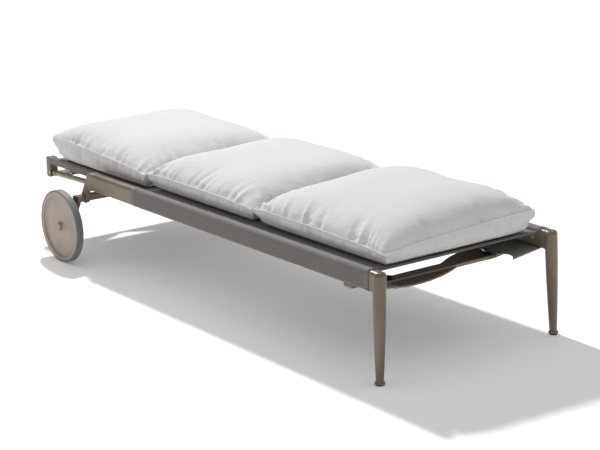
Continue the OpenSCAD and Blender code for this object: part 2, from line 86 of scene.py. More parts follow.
# Distance at which the key, which doesn't fade, is as bright as a plain lamp of its power
KEY_DISTANCE = 3.4
KEY_PLACE = (-2.05, 0.5, 2.75)
KEY_SIZE = 0.24
# The sky's strength at the horizon and overhead
SKY = (0.25, 0.75)
FLOOR_HALF = 30


def add_area_light(name, place, target, size, power):
    """A round lamp, aimed at the target."""
    data = bpy.data.lights.new(name, "AREA")
    data.shape = "DISK"
    data.size = size
    data.energy = power
    light = bpy.data.objects.new(name, data)
    light.location = place
    light.rotation_euler = (Vector(target) - Vector(place)).to_track_quat("-Z", "Y").to_euler()
    SCENE.collection.objects.link(light)
    return light


def light_studio():
    """One soft key over the head end, as bright at both ends, and a pale sky, brightest overhead."""
    key = add_area_light("key", KEY_PLACE, (0, 0, 0.2), KEY_SIZE, KEY_POWER)
    key.data.use_nodes = True
    tree = key.data.node_tree
    even = tree.nodes.new("ShaderNodeLightFalloff")
    even.inputs["Strength"].default_value = 1 / KEY_DISTANCE**2
    tree.links.new(even.outputs["Constant"], tree.nodes["Emission"].inputs["Strength"])
    world = bpy.data.worlds.new("studio")
    world.use_nodes = True
    tree = world.node_tree
    tree.nodes["Background"].inputs["Color"].default_value = (0.97, 0.985, 1, 1)
    heading = tree.nodes.new("ShaderNodeTexCoord")
    split = tree.nodes.new("ShaderNodeSeparateXYZ")
    rise = tree.nodes.new("ShaderNodeMapRange")
    rise.inputs["To Min"].default_value, rise.inputs["To Max"].default_value = SKY
    tree.links.new(heading.outputs["Generated"], split.inputs[0])
    tree.links.new(split.outputs["Z"], rise.inputs["Value"])
    tree.links.new(rise.outputs["Result"], tree.nodes["Background"].inputs["Strength"])
    SCENE.world = world
    SCENE.view_settings.view_transform = "Standard"


def add_floor():
    """A white studio floor, whose own glow evens the shadow near the middle and fades it out far away."""
    mesh = bpy.data.meshes.new("floor")
    corners = [(x * FLOOR_HALF, y * FLOOR_HALF, 0) for x, y in ((-1, -1), (1, -1), (1, 1), (-1, 1))]
    mesh.from_pydata(corners, [], [(0, 1, 2, 3)])
    floor = bpy.data.objects.new("floor", mesh)
    SCENE.collection.objects.link(floor)
    s = Shader("floor", Base_Color=(0.95, 0.95, 0.95, 1), Roughness=0.9, Emission_Color=(1, 1, 1, 1))
    # Painted light: the floor glows, more near the middle to lighten the lounger's cast shadow, and more far
    # off to keep the distant floor white.
    out = s.add("ShaderNodeVectorMath", {0: s.place}, operation="LENGTH").outputs["Value"]
    near = s.spread(out, 0.2, 1.5, 0.20, 0.05)
    glow = s.maths("ADD", near, s.spread(out, 1.5, 6.0, 0, 0.55))
    mesh.materials.append(s.feed(Emission_Strength=glow))


# ---------------------------------------------------------------- material building blocks
# From band to band of Blender's wave texture at scale 1, in metres
WAVE_PERIOD = 0.314


class Shader:
    """One Principled material, with short calls for the nodes that feed it."""

    def __init__(self, name, **sockets):
        self.mat = bpy.data.materials.new(name)
        self.mat.use_nodes = True
        self.tree = self.mat.node_tree
        self.bsdf = self.tree.nodes["Principled BSDF"]
        for key, value in sockets.items():
            self.bsdf.inputs[key.replace("_", " ")].default_value = value
        self.place = self.add("ShaderNodeTexCoord").outputs["Object"]

    def add(self, kind, inputs=None, **props):
        """A node of that kind. Inputs are plain values or the sockets that feed them."""
        node = self.tree.nodes.new(kind)
        for key, value in props.items():
            setattr(node, key, value)
        for key, value in (inputs or {}).items():
            if isinstance(value, bpy.types.NodeSocket):
                self.tree.links.new(value, node.inputs[key])
            else:
                node.inputs[key].default_value = value
        return node

    def noise(self, scale, detail=3.0, rough=0.5):
        """Cloudy noise from 0 to 1, with about scale clouds to the metre."""
        facts = {"Vector": self.place, "Scale": scale, "Detail": detail, "Roughness": rough}
        return self.add("ShaderNodeTexNoise", facts).outputs["Fac"]

    def threads(self, axis, pitch, slub=3.0):
        """Bands of one thread pitch, in metres, along an axis."""
        facts = {"Vector": self.place, "Scale": WAVE_PERIOD / pitch, "Distortion": slub, "Detail": 1.0}
        return self.add("ShaderNodeTexWave", facts, bands_direction=axis).outputs["Fac"]

    def maths(self, operation, a, b):
        return self.add("ShaderNodeMath", {0: a, 1: b}, operation=operation).outputs[0]

    def spread(self, value, low, high, to_low, to_high):
        """Maps low and high onto two new ends, and holds the ends beyond them."""
        facts = {"Value": value, "From Min": low, "From Max": high, "To Min": to_low, "To Max": to_high}
        return self.add("ShaderNodeMapRange", facts).outputs["Result"]

    def mix(self, share, a, b):
        """Colour a where share is 0 and b where it is 1. Each is a colour or a socket."""
        node = self.add("ShaderNodeMix", {0: share}, data_type="RGBA")
        for socket, value in ((node.inputs[6], a), (node.inputs[7], b)):
            if isinstance(value, bpy.types.NodeSocket):
                self.tree.links.new(value, socket)
            else:
                socket.default_value = (*value, 1)
        return node.outputs[2]

    def bump(self, height, distance, strength=1.0, under=None):
        facts = {"Height": height, "Distance": distance, "Strength": strength}
        if under is not None:
            facts["Normal"] = under
        return self.add("ShaderNodeBump", facts).outputs["Normal"]

    def feed(self, **links):
        """Links sockets to the shader's inputs, and returns the finished material."""
        for key, value in links.items():
            self.tree.links.new(value, self.bsdf.inputs[key.replace("_", " ")])
        return self.mat


def edge_wear(s, radius, low=0.04, high=0.35):
    """1 on edges that hands and feet rub, 0 on flat faces."""
    rounded = s.add("ShaderNodeBevel", {"Radius": radius}, samples=4).outputs["Normal"]
    true = s.add("ShaderNodeNewGeometry").outputs["Normal"]
    alike = s.add("ShaderNodeVectorMath", {0: rounded, 1: true}, operation="DOT_PRODUCT").outputs["Value"]
    rub = s.spread(s.maths("SUBTRACT", 1.0, alike), low, high, 0, 1)
    return s.maths("MULTIPLY", rub, s.spread(s.noise(45, 4), 0.38, 0.62, 0, 1))


def painted_metal(name, colour, light, dark, worn, rough=0.4):
    """Satin powder coat: a fine orange peel, a slow drift of tone, flecks and rubbed edges."""
    s = Shader(name, Metallic=0.35)
    tone = s.mix(s.spread(s.noise(5, 2), 0.35, 0.65, 0, 1), dark, colour)
    tone = s.mix(s.spread(s.noise(1500, 1), 0.62, 0.75, 0, 0.35), tone, light)
    tone = s.mix(s.maths("MULTIPLY", edge_wear(s, 0.003), 0.45), tone, worn)
    grain = s.bump(s.noise(700, 2), 0.00025, 0.5)
    cast = s.bump(s.noise(70, 3), 0.0006, 0.45, grain)
    gloss = s.spread(s.noise(30, 4), 0.3, 0.7, rough - 0.07, rough + 0.1)
    return s.feed(Base_Color=tone, Roughness=gloss, Normal=cast)


def woven(
    name, light, dark, pitch, contrast, rough=0.9, sheen=0.0, relief=0.0004, patch=0.35, crumple=0.0
):
    """Plain weave from threads along the three axes, so that it runs on over every face."""
    s = Shader(name, Sheen_Weight=sheen, Sheen_Roughness=0.5, Specular_IOR_Level=0.25)
    warp = s.threads("X", pitch)
    weft = s.threads("Y", pitch)
    third = s.threads("Z", pitch)
    height = s.maths("MULTIPLY", s.maths("ADD", s.maths("ADD", warp, weft), third), 0.333)
    tone = s.mix(s.spread(height, 0.5 - contrast, 0.5 + contrast, 0, 1), dark, light)
    heather = s.spread(s.noise(260, 3, 0.7), 0.35, 0.65, 0, patch)
    tone = s.mix(heather, tone, dark)
    tone = s.mix(s.spread(s.noise(4, 3), 0.35, 0.7, 0, patch * 0.6), tone, dark)
    fuzz = s.bump(s.noise(900, 2), relief * 0.5, 0.6)
    weave = s.bump(height, relief, 0.8, fuzz)
    if crumple:
        weave = s.bump(s.noise(34, 4, 0.62), crumple, 0.5, weave)
    gloss = s.spread(s.noise(120, 2), 0.3, 0.7, rough - 0.08, rough + 0.05)
    return s.feed(Base_Color=tone, Roughness=gloss, Normal=weave)


def moulded(name, light, dark, rough, grain=0.00012, grain_scale=1200):
    """Moulded plastic or rubber: a fine grain, a drift of tone and light scuffs."""
    s = Shader(name)
    tone = s.mix(s.spread(s.noise(9, 4), 0.35, 0.65, 0, 1), dark, light)
    scuffs = s.spread(s.noise(160, 5, 0.7), 0.6, 0.75, 0, 0.25)
    tone = s.mix(scuffs, tone, [min(1, c * 1.25) for c in light])
    fine = s.bump(s.noise(grain_scale, 2), grain, 0.6)
    gloss = s.spread(s.noise(50, 4), 0.3, 0.7, rough - 0.1, rough + 0.1)
    return s.feed(Base_Color=tone, Roughness=gloss, Normal=fine)


def bare_steel(name):
    """Turned stainless steel: fine rings along its axle's direction."""
    s = Shader(name, Metallic=1.0)
    tone = s.mix(s.noise(60, 4), (0.42, 0.41, 0.40), (0.62, 0.61, 0.60))
    turned = s.bump(s.threads("Y", 0.0006, 0.3), 0.00005, 0.4)
    gloss = s.spread(s.noise(90, 3), 0.3, 0.7, 0.25, 0.42)
    return s.feed(Base_Color=tone, Roughness=gloss, Normal=turned)


def corded(name, colour, light):
    """Braided cord: slanting strands."""
    s = Shader(name, Sheen_Weight=0.15, Specular_IOR_Level=0.4)
    s.place = s.add("ShaderNodeMapping", {"Vector": s.place, "Rotation": (0.6, 0.8, 0.7)}).outputs["Vector"]
    strand = s.threads("X", 0.0011, 0.5)
    tone = s.mix(s.spread(strand, 0.2, 0.8, 0, 1), colour, light)
    gloss = s.spread(s.noise(300, 2), 0, 1, 0.55, 0.8)
    return s.feed(Base_Color=tone, Roughness=gloss, Normal=s.bump(strand, 0.0003, 0.8))


MATERIALS = {
    "cast_metal": painted_metal(
        "cast_metal", colour=(0.205, 0.163, 0.118), light=(0.34, 0.28, 0.22),
        dark=(0.165, 0.130, 0.094), worn=(0.52, 0.45, 0.38), rough=0.33,
    ),
    "stay_metal": painted_metal(
        "stay_metal", colour=(0.36, 0.31, 0.26), light=(0.5, 0.45, 0.4),
        dark=(0.31, 0.26, 0.21), worn=(0.6, 0.56, 0.5), rough=0.36,
    ),
    "sling_cloth": woven(
        "sling_cloth", (0.250, 0.244, 0.244), (0.125, 0.120, 0.118), pitch=0.0022, contrast=0.30,
        rough=0.82, sheen=0.1,
    ),
    "band_cloth": woven(
        "band_cloth", (0.248, 0.232, 0.220), (0.132, 0.122, 0.114), pitch=0.0022, contrast=0.30,
        rough=0.8, sheen=0.1,
    ),
    # Painted light: the flaps are the same cloth as the sling and bands but about twice as light, standing
    # in for the light that reaches them in the shade under the sling.
    "flap_cloth": woven(
        "flap_cloth", (0.50, 0.47, 0.43), (0.29, 0.27, 0.245), pitch=0.0022, contrast=0.30,
        rough=0.85, sheen=0.05,
    ),
    "cushion_cloth": woven(
        "cushion_cloth", (0.728, 0.702, 0.696), (0.668, 0.643, 0.636), pitch=0.0014, contrast=0.35,
        rough=0.93, sheen=0.2, relief=0.00012, patch=0.25, crumple=0.004,
    ),
    # Pale thread for the stitches. The piping, of the cover's own cloth, is drawn in it too: there its
    # lightness is a painted highlight along the seams.
    "cushion_thread_and_seam_highlight": woven(
        "cushion_thread_and_seam_highlight", (0.82, 0.81, 0.80), (0.66, 0.65, 0.64), pitch=0.0005, contrast=0.4,
        rough=0.8, sheen=0.1, relief=0.0001, patch=0.2,
    ),
    "sling_thread": woven(
        "sling_thread", (0.34, 0.32, 0.30), (0.2, 0.19, 0.18), pitch=0.0005, contrast=0.4,
        rough=0.8, sheen=0.1, relief=0.0001, patch=0.2,
    ),
    "lace_cord": corded("lace_cord", (0.008, 0.008, 0.009), (0.03, 0.03, 0.032)),
    "tyre_rubber": moulded(
        "tyre_rubber", (0.20, 0.212, 0.214), (0.155, 0.165, 0.168), rough=0.62, grain=0.0003, grain_scale=500
    ),
    "wheel_plastic": moulded("wheel_plastic", (0.41, 0.335, 0.278), (0.345, 0.283, 0.232), rough=0.48),
    "black_plastic": moulded("black_plastic", (0.014, 0.014, 0.015), (0.01, 0.01, 0.011), rough=0.45),
    "black_steel": painted_metal(
        "black_steel", colour=(0.02, 0.02, 0.021), light=(0.05, 0.05, 0.05),
        dark=(0.015, 0.015, 0.016), worn=(0.2, 0.2, 0.2), rough=0.35,
    ),
    "bare_steel": bare_steel("bare_steel"),
}
SOFT = {"sling_cloth", "band_cloth", "flap_cloth", "cushion_cloth", "lace_cord"}
CAST = ["head_bracket", "leg", "head_casting", "wheel_arm", "guide_plate"]
CAST_VOXEL = 0.0022
CAST_SMOOTHING = 5


def finish_cad_nodes():
    """Every CAD node that stays gets its slot's material. Castings get soft edges as well."""
    cast = {f"{piece}_{side}" for piece in CAST for side in SIDES} | {"foot_crossbar", "head_blade"}
    for name, node in frame["nodes"].items():
        if NODE_SLOT[name] in SOFT:
            continue
        mat = MATERIALS[NODE_SLOT[name]]
        if not node.material_slots:
            node.data.materials.append(None)
        for spot in node.material_slots:
            spot.link = "OBJECT"
            spot.material = mat
        if name in cast:
            soften(node)


def soften(node):
    """The rounded edges that a casting has from its mould and its paint."""
    remesh = node.modifiers.new("skin", "REMESH")
    remesh.mode = "VOXEL"
    remesh.voxel_size = CAST_VOXEL
    remesh.use_smooth_shade = True
    smooth = node.modifiers.new("cast edges", "SMOOTH")
    smooth.factor = 0.5
    smooth.iterations = CAST_SMOOTHING


# ---------------------------------------------------------------- mesh building blocks
def new_piece(name, mesh, slot, body, material=None):
    """An object that rides on the body, with the slot's material unless another is named."""
    piece = bpy.data.objects.new(name, mesh)
    SCENE.collection.objects.link(piece)
    mesh.materials.clear()
    mesh.materials.append(MATERIALS[material or slot])
    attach(piece, body)
    return piece


def smooth_faces(mesh):
    mesh.polygons.foreach_set("use_smooth", np.ones(len(mesh.polygons), bool))


def mesh_from(name, verts, faces):
    """A smooth-shaded mesh."""
    mesh = bpy.data.meshes.new(name)
    mesh.from_pydata([tuple(v) for v in verts], [], faces)
    mesh.update()
    smooth_faces(mesh)
    return mesh


def tube(path, radius, sides=6, closed=False):
    """Verts and faces of a round tube along a path of points."""
    path = np.asarray(path, float)
    count = len(path)
    if closed:
        tangent = np.roll(path, -1, 0) - np.roll(path, 1, 0)
    else:
        tangent = np.gradient(path, axis=0)
    tangent /= np.linalg.norm(tangent, axis=1)[:, None]
    side = np.cross(tangent, (0, 0, 1.0))
    flat = np.linalg.norm(side, axis=1) < 0.2
    side[flat] = np.cross(tangent[flat], (1.0, 0, 0))
    for i in range(1, count):
        side[i] = side[i - 1] - tangent[i] * np.dot(side[i - 1], tangent[i])
        side[i] /= np.linalg.norm(side[i])
    side[0] /= np.linalg.norm(side[0])
    lift = np.cross(tangent, side)
    turn = np.linspace(0, 2 * math.pi, sides, endpoint=False)
    across = np.cos(turn)[None, :, None] * side[:, None]
    upward = np.sin(turn)[None, :, None] * lift[:, None]
    verts = (path[:, None] + radius * (across + upward)).reshape(-1, 3).tolist()
    faces = []
    for i in range(count if closed else count - 1):
        j = (i + 1) % count
        for k in range(sides):
            m = (k + 1) % sides
            faces.append((i * sides + k, i * sides + m, j * sides + m, j * sides + k))
    if not closed:
        faces.append(tuple(range(sides)))
        faces.append(tuple((count - 1) * sides + k for k in reversed(range(sides))))
    return verts, faces


def join_parts(name, parts):
    """One mesh from several (verts, faces) pairs."""
    verts, faces = [], []
    for part_verts, part_faces in parts:
        start = len(verts)
        verts += list(part_verts)
        faces += [tuple(start + i for i in face) for face in part_faces]
    return mesh_from(name, verts, faces)


def stitch_row(path, surface, length=0.0042, gap=0.0024, radius=0.0006):
    """Raised stitches that follow a path over a surface, given as a BVH tree."""
    path = np.asarray(path, float)
    steps = np.linalg.norm(np.diff(path, axis=0), axis=1)
    at = np.concatenate(([0], np.cumsum(steps)))
    parts = []
    for start in np.arange(0, at[-1] - length, length + gap):
        spots = start + np.array((0, 0.2, 0.5, 0.8, 1)) * length
        lift = np.array((-0.4, 0.5, 0.8, 0.5, -0.4)) * radius
        points = []
        for spot, rise in zip(spots, lift):
            place = Vector([np.interp(spot, at, path[:, i]) for i in range(3)])
            found, normal = surface.find_nearest(place)[:2]
            points.append(found + normal * rise)
        parts.append(tube(points, radius, 5))
    return parts


def surface_of(obj):
    """The object's surface as a BVH tree, for laying stitches on it."""
    bpy.context.view_layer.update()
    return BVHTree.FromObject(obj, bpy.context.evaluated_depsgraph_get())


# ---------------------------------------------------------------- cushions
CELLS = 52
BAND_ROWS = 5
# How far sewn seams gather the cloth, and how far the filling may push it, in metres
SEAM_GATHER = 0.05
SWELL_LIMIT = 0.016
SWELL_STEPS = 20
# Share of the panel beyond which a point belongs to its rim
RIM = 0.97
# Wave heights at their full strength, and how far the puckers reach from a seam, in metres
TOP_PUCKER = 0.0044
BAND_PUCKER = 0.0045
PUCKER_REACH = 0.044
HOLLOW = 0.0009
PIPING_R = 0.0026
LOW_PIPING_R = 0.0015
STITCH_INSET = 0.0045
# 2 pi, to two places
FULL_TURN = 6.28


class Cushion:
    """A box cushion's cover: a crowned top panel, a gathered band and a flat bottom panel."""

    def __init__(self, node, body, x0, x1, half_y, crown, seed, lifts, tilt=0.0):
        self.node, self.body, self.tilt = node, body, tilt
        self.z0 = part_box(node)[0][2]
        self.x0, self.x1, self.half_y, self.crown, self.lifts = x0, x1, half_y, crown, lifts
        self.rng = np.random.default_rng(seed)

    def corner_value(self, a, b, values):
        """Blends four corner values, in the order head right, head left, foot right, foot left."""
        head = values[0] * (1 - b) + values[1] * (1 + b)
        foot = values[2] * (1 - b) + values[3] * (1 + b)
        return (head * (1 - a) + foot * (1 + a)) / 4

    def place(self, a, b, level):
        """Point at panel position a, b from -1 to 1. Level 0 is the bottom seam, 1 the top seam."""
        half_x = (self.x1 - self.x0) / 2
        corner_cut, end_pull, side_pull = 0.016, 0.010, 0.008
        bulge, tuck_in, seam_rise, floor_gap = 0.010, 0.014, 0.008, 0.002
        corner = np.abs(a * b) ** 6
        # Corners are cut in, and the middle of each edge draws in a little
        pull = end_pull * (1 - b * b) * np.abs(a) ** 3 / half_x
        pull_y = side_pull * (1 - a * a) * np.abs(b) ** 3 / self.half_y
        x = a * (1 - corner_cut * np.abs(b) ** 9) * (1 - pull)
        y = b * (1 - corner_cut * np.abs(a) ** 9) * (1 - pull_y)
        t = np.clip(level, 0, 1)
        # The band bulges between its seams, and its foot tucks under
        edge = np.maximum(np.abs(a), np.abs(b)) ** 10
        tuck = -tuck_in * (1 - t) ** 2 + bulge * np.sin(math.pi * t) * (1 - 0.5 * corner)
        x = x * half_x + edge * tuck * np.sign(a) * (np.abs(a) > RIM)
        y = y * self.half_y + edge * tuck * np.sign(b) * (np.abs(b) > RIM)
        seams = [lift[1] for lift in self.lifts]
        bottoms = [lift[0] for lift in self.lifts]
        seam = self.corner_value(a, b, seams) + seam_rise * (1 - corner)
        lift = self.corner_value(a, b, bottoms) * corner**0.5 + floor_gap
        # The crown is a little fuller on the left, and by tilt towards the foot end
        dome = ((1 - np.abs(a) ** 4.6) * (1 - np.abs(b) ** 4.0)).clip(0, 1) ** 0.62
        heave = 1 + 0.06 * b - 0.10 * a * a + self.tilt * a
        bottom = self.z0 + lift * edge
        top = self.z0 + seam + self.crown * dome * heave
        z = np.where(level > 1, top, bottom + (self.z0 + seam - bottom) * t)
        z = np.where(level < 0, bottom, z)
        return np.stack([x + (self.x0 + self.x1) / 2, y, z], -1)

    def build(self):
        """Panel grids, closer near the seams, and band rings. Vertices keep their panel place and level."""
        n = CELLS
        spread = math.pi / 2 * 0.72
        line = np.sin(np.linspace(-1, 1, n + 1) * spread) / math.sin(spread)
        a, b = np.meshgrid(line, line, indexing="ij")
        ring = [(i, 0) for i in range(n)] + [(n, j) for j in range(n)]
        ring += [(n - i, n) for i in range(n)] + [(0, n - j) for j in range(n)]
        grid = (n + 1) ** 2
        flat_a, flat_b = a.ravel(), b.ravel()
        inner = np.ones((n + 1, n + 1), bool)
        inner[[0, -1], :] = inner[:, [0, -1]] = False
        inner = inner.ravel()
        ring_a = np.array([a[i, j] for i, j in ring])
        ring_b = np.array([b[i, j] for i, j in ring])
        rows = BAND_ROWS - 1
        self.a = np.concatenate([flat_a, flat_a] + [ring_a] * rows)
        self.b = np.concatenate([flat_b, flat_b] + [ring_b] * rows)
        levels = [np.where(inner, 2.0, 1.0), np.where(inner, -1.0, 0.0)]
        levels += [np.full(len(ring), (r + 1) / BAND_ROWS) for r in range(rows)]
        self.level = np.concatenate(levels)
        verts = self.place(self.a, self.b, self.level)
        faces = []
        for i in range(n):
            for j in range(n):
                here, ahead = i * (n + 1) + j, (i + 1) * (n + 1) + j
                square = [here, ahead, ahead + 1, here + 1]
                faces.append(tuple(square))
                faces.append(tuple(grid + k for k in reversed(square)))
        loops = [[grid + i * (n + 1) + j for i, j in ring]]
        loops += [[2 * grid + r * len(ring) + k for k in range(len(ring))] for r in range(rows)]
        loops += [[i * (n + 1) + j for i, j in ring]]
        for low, high in zip(loops, loops[1:]):
            for k in range(len(ring)):
                m = (k + 1) % len(ring)
                faces.append((low[k], low[m], high[m], high[k]))
        mesh = mesh_from(self.node + "_cover", verts, faces)
        for name, values in (("panel_a", self.a), ("panel_b", self.b), ("level", self.level)):
            mesh.attributes.new(name, "FLOAT", "POINT").data.foreach_set("value", values.astype(np.float32))
        crease = np.zeros(len(mesh.edges), np.float32)
        ends = np.array([edge.vertices[:] for edge in mesh.edges])
        for loop_level, strength in ((1.0, 0.75), (0.0, 0.5)):
            on = np.abs(self.level - loop_level) < 1e-6
            crease[on[ends[:, 0]] & on[ends[:, 1]]] = strength
        mesh.attributes.new("crease_edge", "FLOAT", "EDGE").data.foreach_set("value", crease)
        return mesh

    def swell(self, obj):
        """Cloth simulation: the filling presses out, and the sewn seams gather the cloth."""
        start = np.array([v.co for v in obj.data.vertices])
        # The cloth gathers most at the top seam, and the bottom panel's middle stays where it lies
        seam = obj.vertex_groups.new(name="seam")
        near = np.exp(-((np.abs(self.level - 1) * 3) ** 2)) * (self.level <= 1)
        rim = np.maximum(np.abs(self.a), np.abs(self.b))
        near = np.where(self.level > 1, np.clip((rim - 0.93) / 0.07, 0, 1), near)
        held = obj.vertex_groups.new(name="held")
        for i in range(len(start)):
            seam.add([i], float(near[i]), "REPLACE")
            if self.level[i] <= 0 and rim[i] < 0.93:
                held.add([i], 1.0, "REPLACE")
        cloth = obj.modifiers.new("swell", "CLOTH")
        facts = cloth.settings
        facts.quality = 6
        facts.mass = 0.25
        facts.tension_stiffness = facts.compression_stiffness = 12
        facts.shear_stiffness = 4
        facts.bending_stiffness = 0.15
        facts.use_pressure = True
        facts.uniform_pressure_force = 3.2
        facts.effector_weights.gravity = 0
        facts.vertex_group_mass = "held"
        facts.vertex_group_shrink = "seam"
        facts.shrink_min = 0
        facts.shrink_max = SEAM_GATHER
        cloth.collision_settings.use_collision = False
        cloth.collision_settings.use_self_collision = False
        for step in range(1, SWELL_STEPS + 1):
            SCENE.frame_set(step)
        shaped = obj.evaluated_get(bpy.context.evaluated_depsgraph_get()).to_mesh()
        moved = np.array([v.co for v in shaped.vertices]) - start
        obj.modifiers.remove(cloth)
        SCENE.frame_set(1)
        # Towards the rim it moves up and down but hardly sideways, so neighbouring cushions stay apart
        moved[:, :2] *= 1 - 0.8 * np.clip((rim - 0.6) / 0.35, 0, 1)[:, None]
        far = np.linalg.norm(moved, axis=1)
        moved *= (SWELL_LIMIT * np.tanh(far / SWELL_LIMIT) / np.maximum(far, 1e-9))[:, None]
        obj.data.vertices.foreach_set("co", (start + moved).ravel())
        obj.data.update()

    def ripple(self, place, height):
        """Sewn gathers along an edge: short waves whose strength comes and goes."""
        waves = np.zeros_like(place)
        for length in (0.017, 0.023, 0.031, 0.042, 0.057):
            phase, drift, bend = self.rng.uniform(0, FULL_TURN, 3)
            slow = self.rng.uniform(0.13, 0.29)
            gate = np.clip(np.sin(place * FULL_TURN / slow + drift), 0, 1)
            wobble = 0.006 * np.sin(place * FULL_TURN / 0.19 + bend)
            crest = 1 - 2 * np.abs(np.sin(FULL_TURN / 2 * (place + wobble) / length + phase)) ** 0.7
            waves += gate * crest * length / 0.04
        return waves * height

    def pucker(self, mesh):
        """Fine puckers beside the seam, gathers down the band and slow hollows over the crown."""
        co = np.zeros(len(mesh.vertices) * 3)
        mesh.vertices.foreach_get("co", co)
        co = co.reshape(-1, 3)
        normal = np.array([v.normal for v in mesh.vertices])
        fields = {}
        for name in ("panel_a", "panel_b", "level"):
            values = np.zeros(len(mesh.vertices), np.float32)
            mesh.attributes[name].data.foreach_get("value", values)
            fields[name] = values
        a, b, level = fields["panel_a"], fields["panel_b"], fields["level"]
        half_x = (self.x1 - self.x0) / 2
        from_end, from_side = (1 - np.abs(a)) * half_x, (1 - np.abs(b)) * self.half_y
        top = level > 1
        band = (level > 0) & (level < 1)
        rise = np.zeros(len(co))
        for edge_gap, place, side in ((from_side, co[:, 0], b), (from_end, co[:, 1], a)):
            for sign in (-1, 1):
                here = np.sign(side) == sign
                slant = self.rng.uniform(-0.5, 0.5)
                reach = np.exp(-((edge_gap / PUCKER_REACH) ** 1.2)) * np.clip(edge_gap / 0.005, 0, 1)
                rise += np.where(here & top, self.ripple(place + slant * edge_gap, TOP_PUCKER) * reach, 0)
                on_band = here & band & (edge_gap < 0.02)
                belly = np.sin(math.pi * np.clip(level, 0, 1))
                rise += np.where(on_band, self.ripple(place, BAND_PUCKER) * belly, 0)
        for _ in range(6):
            heading, phase = self.rng.uniform(0, FULL_TURN, 2)
            length = self.rng.uniform(0.22, 0.45)
            along = co[:, 0] * math.cos(heading) + co[:, 1] * math.sin(heading)
            wave = np.sin(FULL_TURN * along / length + phase)
            inward = np.clip(np.minimum(from_end, from_side) / 0.08, 0, 1)
            rise += np.where(top, HOLLOW * wave * inward, 0)
        co += normal * rise[:, None]
        # The waves stop just above the sling and a little past the cushion's ends
        clear, overhang = 0.0005, 0.004
        co[:, 2] = np.maximum(co[:, 2], self.z0 + clear)
        co[:, 0] = np.clip(co[:, 0], self.x0 - overhang, self.x1 + overhang)
        mesh.vertices.foreach_set("co", co.ravel())
        mesh.update()
        self.final, self.level_final = co, level
        self.angle = np.arctan2(b, a)

    def ring(self, level, inset=0.0):
        """Closed path round the cover where the level is the given one, moved inwards by inset."""
        on = np.abs(self.level_final - level) < 1e-4
        order = np.argsort(self.angle[on])
        path = self.final[on][order]
        if inset:
            centre = np.array(((self.x0 + self.x1) / 2, 0))
            half = np.array(((self.x1 - self.x0) / 2, self.half_y))
            path = path.copy()
            path[:, :2] -= (path[:, :2] - centre) / half * inset
            path[:, 2] += inset * 0.7
        return path

    def trim(self, kind, parts):
        """Piping or stitches, joined into one piece in the pale thread material. On the stitches that is the
        thread's own colour; on the piping it is a painted highlight along the seam.
        """
        name = f"{self.node}_{kind}"
        return new_piece(name, join_parts(name, parts), "cushion_cloth", self.body, "cushion_thread_and_seam_highlight")

    def make(self):
        """The cover, which stands for the CAD cushion, with its piping and its stitches."""
        mesh = self.build()
        obj = bpy.data.objects.new(self.node + "_shape", mesh)
        SCENE.collection.objects.link(obj)
        self.swell(obj)
        finer = obj.modifiers.new("finer", "SUBSURF")
        finer.levels = finer.render_levels = 1
        bpy.context.view_layer.update()
        fine = bpy.data.meshes.new_from_object(obj.evaluated_get(bpy.context.evaluated_depsgraph_get()))
        bpy.data.objects.remove(obj)
        smooth_faces(fine)
        self.pucker(fine)
        cover = new_piece(self.node + "_cover", fine, "cushion_cloth", self.body)
        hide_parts(self.node)
        surface = surface_of(cover)
        seams = ((1.0, PIPING_R), (0.0, LOW_PIPING_R))
        # The piping's pale colour is a painted highlight along the top and bottom seams.
        piping = self.trim("piping", [tube(self.ring(level), r, closed=True) for level, r in seams])
        row = self.ring(1.0, STITCH_INSET)
        stitches = self.trim("stitches", stitch_row(np.vstack([row, row[:1]]), surface))
        return cover, piping, stitches


def make_cushions():
    """Three loose cushions. The head one rides on the backrest and ends just short of the middle one."""
    gap = 0.002
    spare_width = 0.004
    foot_overhang = 0.020
    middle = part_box("middle_cushion")
    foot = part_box("foot_cushion")
    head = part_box("head_cushion")
    hinge_end = middle[0][0] - gap * 2
    # Heights of the bottom and top seams at each corner: head right, head left, foot right, foot left
    foot_lifts = ((0.010, 0.040), (0.014, 0.058), (0.008, 0.028), (0.022, 0.062))
    middle_lifts = ((0.010, 0.040), (0.012, 0.052), (0.008, 0.034), (0.012, 0.050))
    head_lifts = ((0.034, 0.076), (0.030, 0.074), (0.004, 0.040), (0.010, 0.052))
    wide = foot[1][1] + spare_width
    Cushion(
        "foot_cushion", "base", foot[0][0] - gap, foot[1][0] + foot_overhang, wide, crown=0.076, seed=31,
        lifts=foot_lifts,
    ).make()
    Cushion(
        "middle_cushion", "base", middle[0][0], foot[0][0] - 2 * gap, wide, crown=0.069, seed=12,
        lifts=middle_lifts,
    ).make()
    head_pieces = Cushion(
        "head_cushion", "backrest", head[0][0], hinge_end, wide, crown=0.066, seed=27,
        lifts=head_lifts, tilt=0.10,
    ).make()
    for piece in head_pieces:
        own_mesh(piece)


# ---------------------------------------------------------------- stretched cloth and its cords
SLING_HEM = 0.022
BACK_HEM = 0.020
BAND_HEM = 0.012


